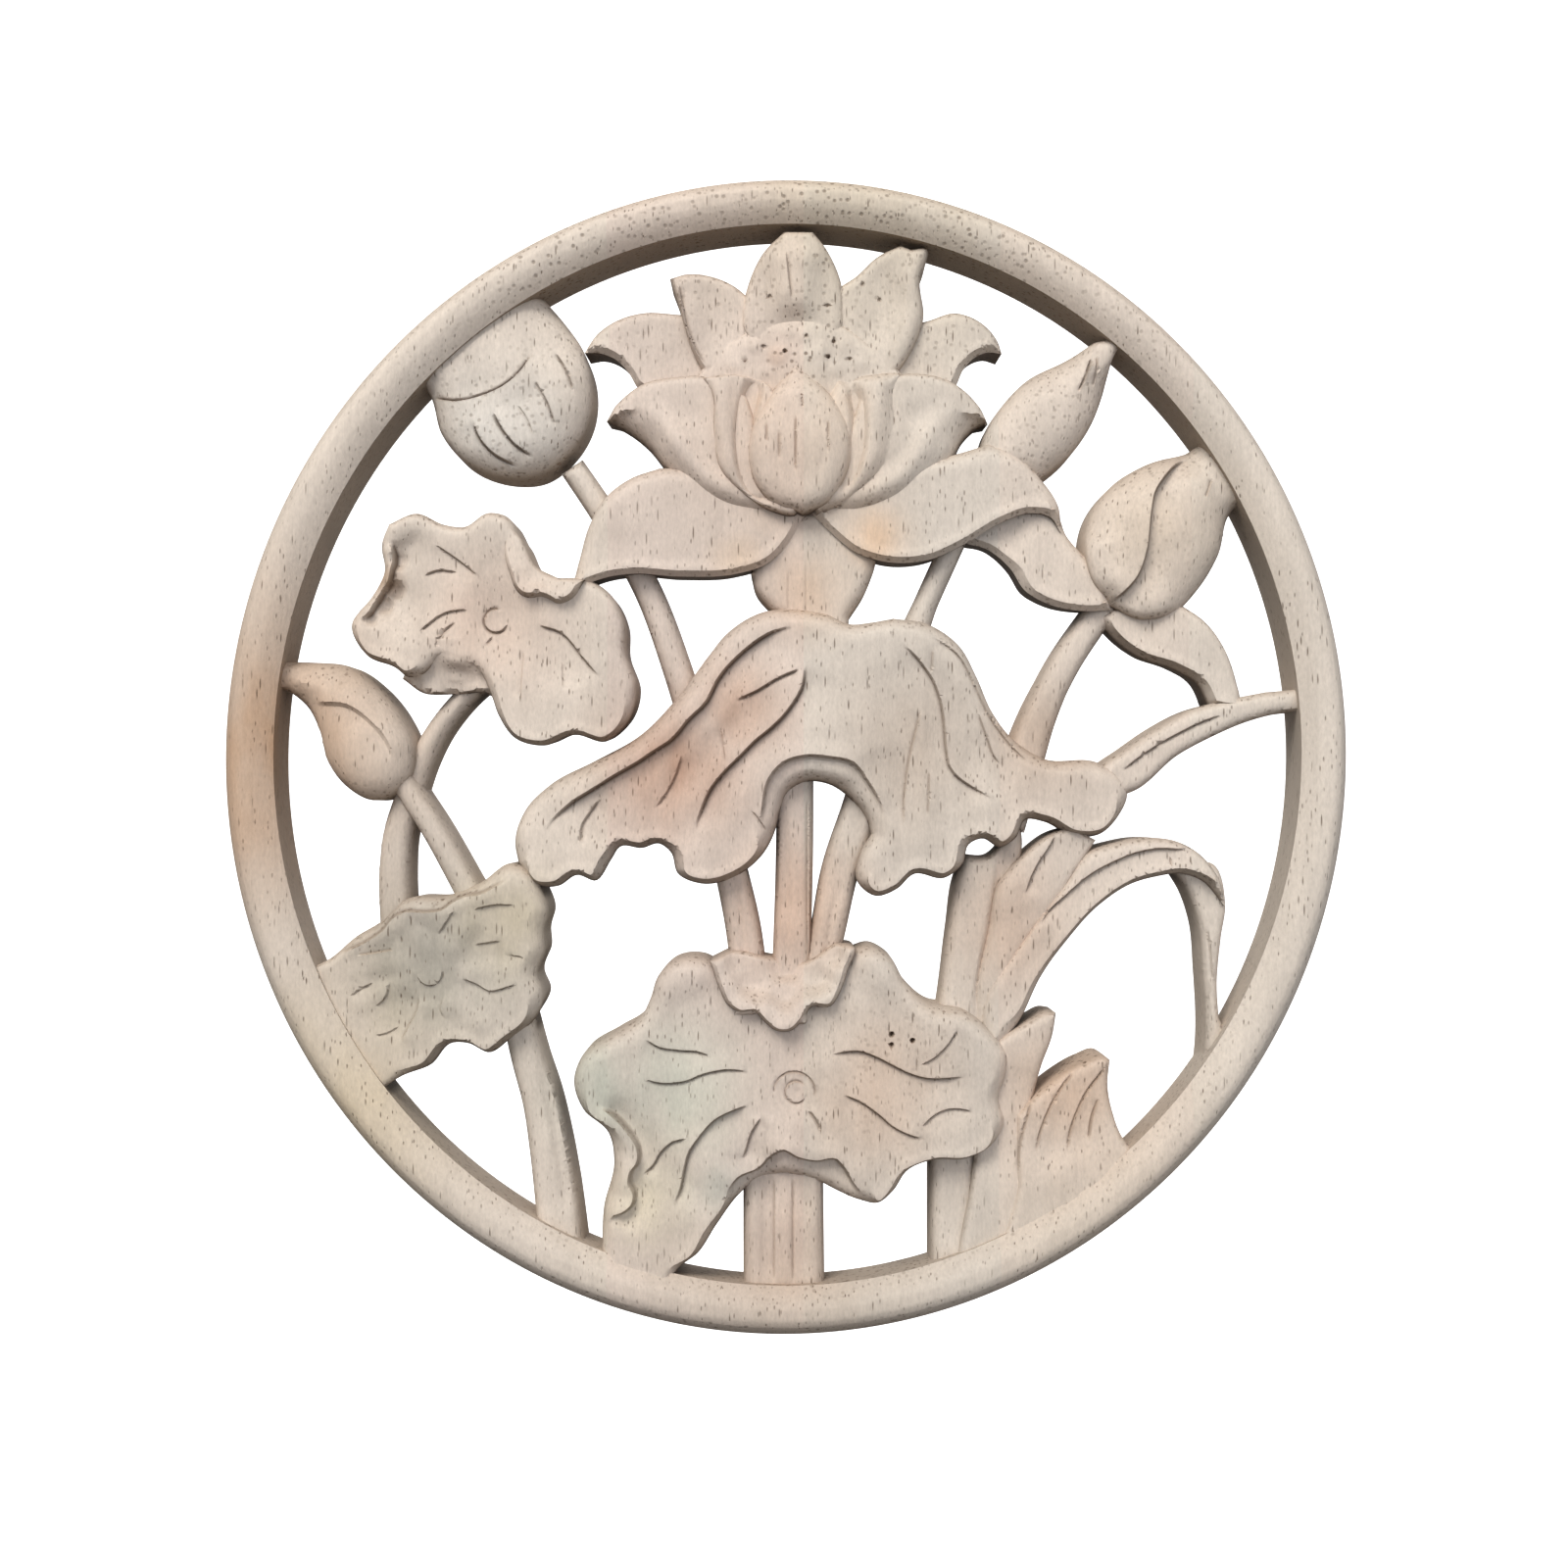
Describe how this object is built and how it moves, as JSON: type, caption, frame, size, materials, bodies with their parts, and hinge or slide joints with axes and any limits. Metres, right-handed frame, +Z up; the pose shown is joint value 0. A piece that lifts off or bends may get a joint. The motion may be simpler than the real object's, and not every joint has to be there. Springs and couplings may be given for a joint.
{
  "type": "carved wooden applique",
  "caption": "round openwork wood carving of a lotus flower, buds, leaves and grass inside a ring frame, with a flat back to glue or pin to a panel, door or wall",
  "frame": {"origin": "middle of the flat back, under the middle leaf", "axes": "+Z up as it hangs, +Y out of the back towards what it is fixed to, the carving faces -Y"},
  "size_m": [0.2, 0.0159, 0.2058],
  "materials": {
    "wood": "raw sanded pale rubber-wood, open pores, matt"
  },
  "bodies": {
    "root": {"carved_panel": "wood"}
  },
  "joints": []
}
